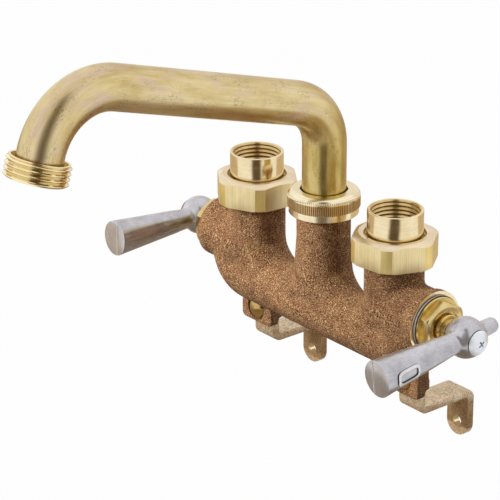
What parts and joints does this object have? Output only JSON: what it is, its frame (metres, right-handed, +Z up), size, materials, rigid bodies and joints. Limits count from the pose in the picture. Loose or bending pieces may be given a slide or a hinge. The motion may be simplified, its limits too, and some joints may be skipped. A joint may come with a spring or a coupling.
{
  "type": "utility sink faucet",
  "caption": "Utility sink faucet in raw brass: union inlets, lever handles on side valves, a swing tube spout with a hose end, and straddle legs.",
  "frame": {"origin": "midway between the fixing holes of the two legs, on the front faces of their tabs", "axes": "+X along the body to the right-hand valve, -Y to the front where the spout reaches, +Z up"},
  "size_m": [0.1934, 0.1987, 0.1887],
  "materials": {
    "cast_brass": "rough sand cast",
    "spout_brass": "satin drawn tube",
    "turned_brass": "turned",
    "nut_brass": "milled",
    "leg_brass": "tumbled",
    "grey_die_cast": "tumbled die cast",
    "chrome_screw": "bright",
    "grey_seal": "matt",
    "black_rubber": "matt"
  },
  "bodies": {
    "faucet_body": {"valve_body": "cast_brass", "spout_o_ring": "black_rubber", "spout_washer": "grey_seal", "spout_nut": "turned_brass", "left_union_nut": "nut_brass", "left_union_tailpiece": "turned_brass", "left_union_gasket": "black_rubber", "left_bonnet": "turned_brass", "left_bonnet_gasket": "grey_seal", "left_valve_seat": "turned_brass", "left_leg": "leg_brass", "left_leg_screw": "turned_brass", "right_union_nut": "nut_brass", "right_union_tailpiece": "turned_brass", "right_union_gasket": "black_rubber", "right_bonnet": "turned_brass", "right_bonnet_gasket": "grey_seal", "right_valve_seat": "turned_brass", "right_leg": "leg_brass", "right_leg_screw": "turned_brass"},
    "spout": {"spout_tube": "spout_brass", "spout_collar": "turned_brass", "hose_end": "turned_brass"},
    "left_washer_set": {"left_seat_washer": "black_rubber", "left_washer_holder": "turned_brass"},
    "left_handle_set": {"left_stem": "turned_brass", "left_stem_o_ring": "black_rubber", "left_handle": "grey_die_cast", "left_handle_screw": "chrome_screw"},
    "right_washer_set": {"right_seat_washer": "black_rubber", "right_washer_holder": "turned_brass"},
    "right_handle_set": {"right_stem": "turned_brass", "right_stem_o_ring": "black_rubber", "right_handle": "grey_die_cast", "right_handle_screw": "chrome_screw"}
  },
  "joints": [
    {"name": "spout_swivel", "type": "hinge", "parent": "faucet_body", "child": "spout", "pos_m": [0, -0.0358, 0.0975], "axis": [0, 0, 1], "continuous": true},
    {"name": "left_stem_rise", "type": "slide", "parent": "faucet_body", "child": "left_washer_set", "axis": [-1, 0, 0], "range_m": [0, 0.003]},
    {"name": "left_handle_turn", "type": "hinge", "parent": "left_washer_set", "child": "left_handle_set", "pos_m": [-0.0701, -0.0358, 0.0645], "axis": [-1, 0, 0], "range_deg": [0, 180]},
    {"name": "right_stem_rise", "type": "slide", "parent": "faucet_body", "child": "right_washer_set", "axis": [1, 0, 0], "range_m": [-0.002, 0.001]},
    {"name": "right_handle_turn", "type": "hinge", "parent": "right_washer_set", "child": "right_handle_set", "pos_m": [0.0701, -0.0358, 0.0645], "axis": [-1, 0, 0], "range_deg": [-120, 60]}
  ],
  "couplings": [
    {"joint": "left_stem_rise", "follows": "left_handle_turn", "m_per_rad": 0.0009549},
    {"joint": "right_stem_rise", "follows": "right_handle_turn", "m_per_rad": 0.0009549}
  ]
}
